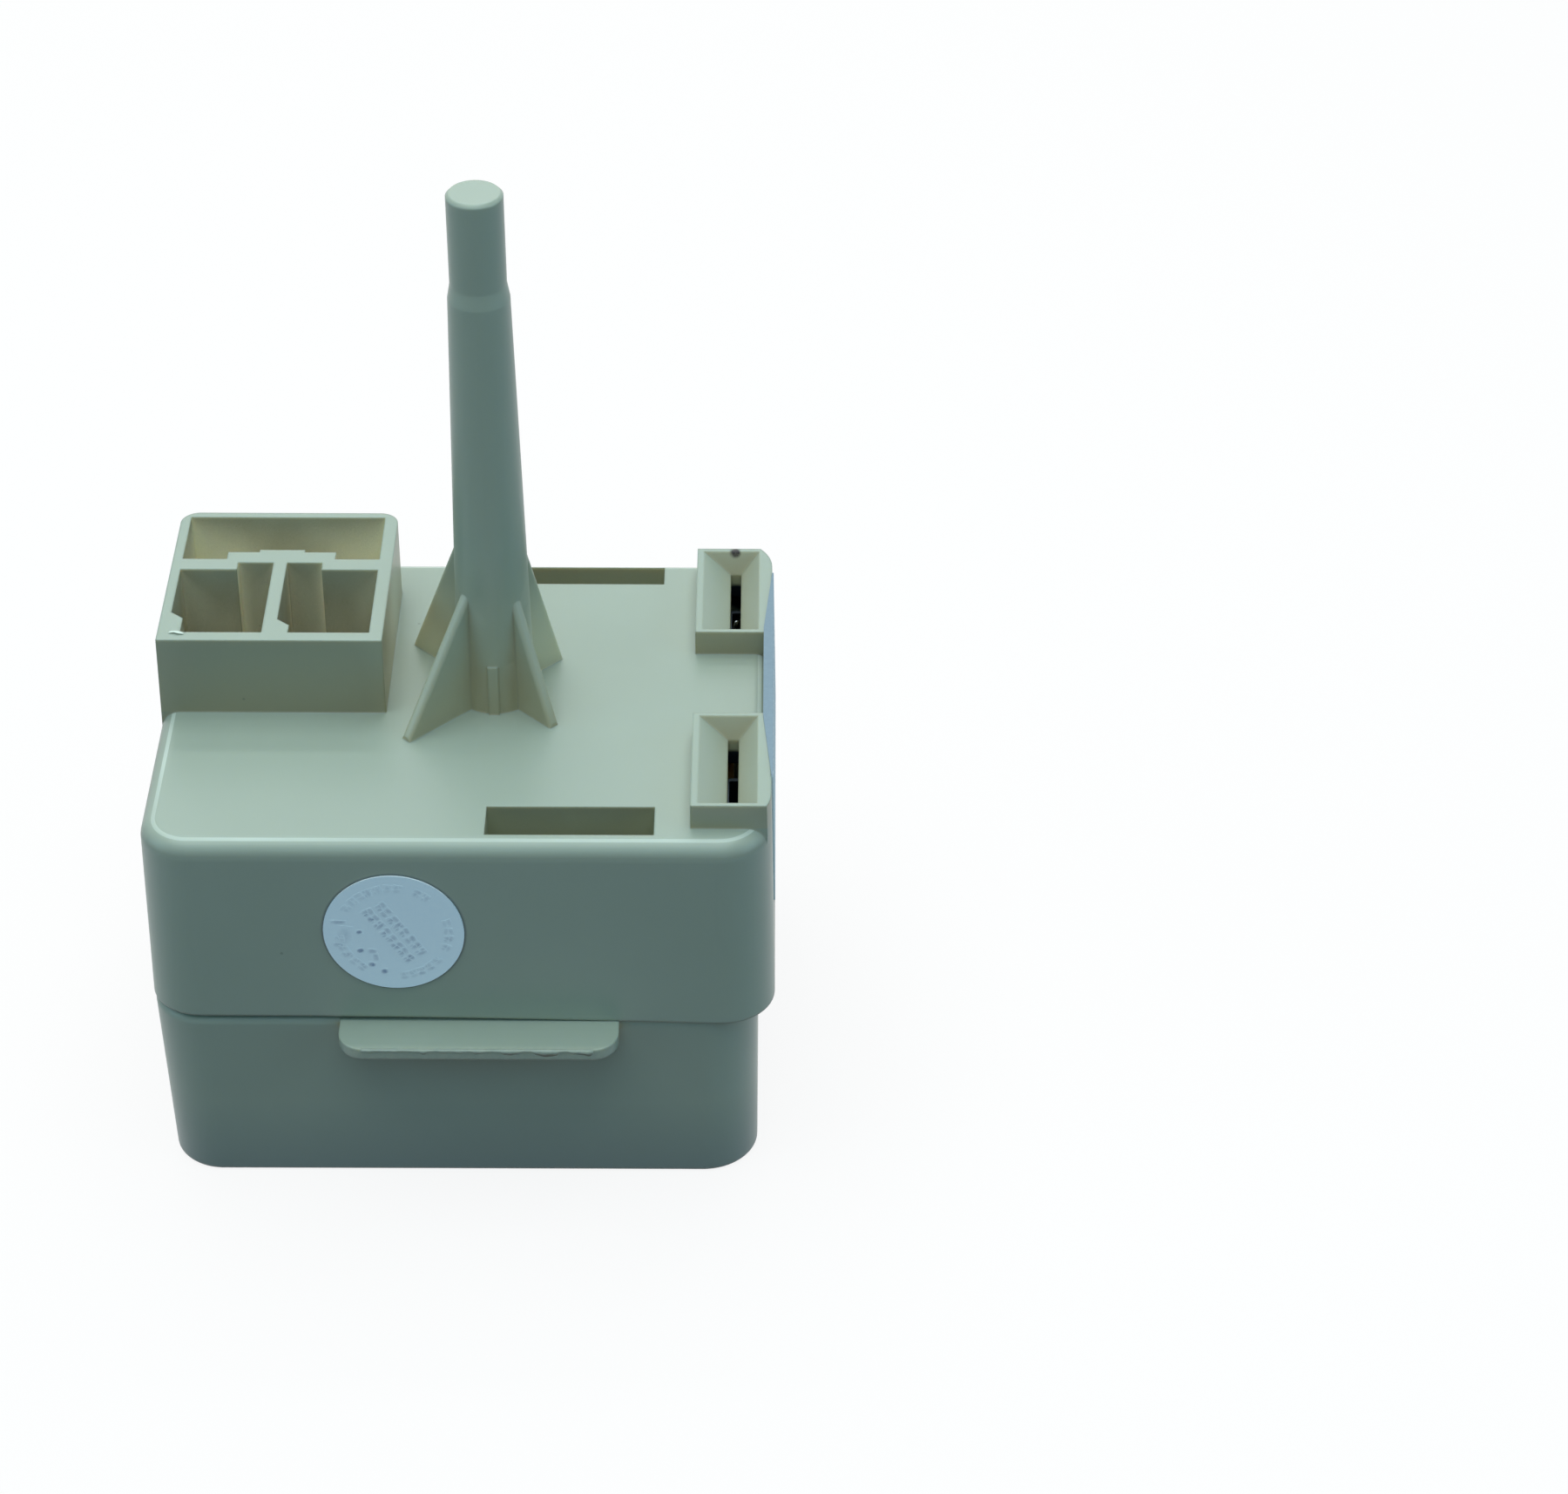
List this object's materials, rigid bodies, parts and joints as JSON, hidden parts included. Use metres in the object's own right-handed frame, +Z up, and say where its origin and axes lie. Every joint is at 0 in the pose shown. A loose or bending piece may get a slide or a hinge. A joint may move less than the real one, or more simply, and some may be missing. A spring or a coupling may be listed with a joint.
{
  "type": "compressor start relay",
  "caption": "Boxy moulded start relay with overload protector: keyed plug shroud, funnel slots for a capacitor, gusseted post and sockets for a sealed compressor's pins.",
  "frame": {"origin": "centre of the base face, the side that the compressor's pins enter", "axes": "+X along the long side, towards the capacitor's blade slots; -Y towards the lip; +Z up along the post"},
  "size_m": [0.0591, 0.0522, 0.0941],
  "materials": {
    "housing_plastic": "moulded thermoplastic polyester, satin, cream white",
    "sticker": "plain coated paper, pale blue grey",
    "label": "plain coated paper, pale grey",
    "brass": "stamped brass sheet",
    "spring_bronze": "phosphor bronze spring strip",
    "spring_steel": "zinc-plated steel",
    "contact_silver": "silver-plated copper contact",
    "thermistor": "dark grey sintered ceramic with silvered faces",
    "phenolic": "black phenolic moulding",
    "barrier_board": "brown pressed insulating board",
    "bimetal": "bright bimetal sheet",
    "heater": "oxidised resistance wire"
  },
  "bodies": {
    "root": {"upper_housing": "housing_plastic", "lower_housing": "housing_plastic", "round_sticker": "sticker", "side_label": "label", "line_terminal": "brass", "run_bus": "brass", "start_bus": "brass", "run_plate": "brass", "load_link": "brass", "common_strip": "brass", "capacitor_socket_front": "spring_bronze", "capacitor_socket_back": "spring_bronze", "ptc_disc": "thermistor", "ptc_spring_run": "spring_bronze", "ptc_spring_start": "spring_bronze", "ptc_barrier": "barrier_board", "overload_case": "phenolic", "overload_cover": "phenolic", "overload_screw": "spring_steel", "bimetal_disc": "bimetal", "moving_contacts": "contact_silver", "fixed_contact_line": "contact_silver", "fixed_contact_load": "contact_silver", "heater_wire": "heater", "pin_socket_common": "brass", "pin_socket_start": "brass", "pin_socket_run": "brass", "socket_clip_common": "spring_steel", "socket_clip_start": "spring_steel", "socket_clip_run": "spring_steel"}
  },
  "joints": []
}
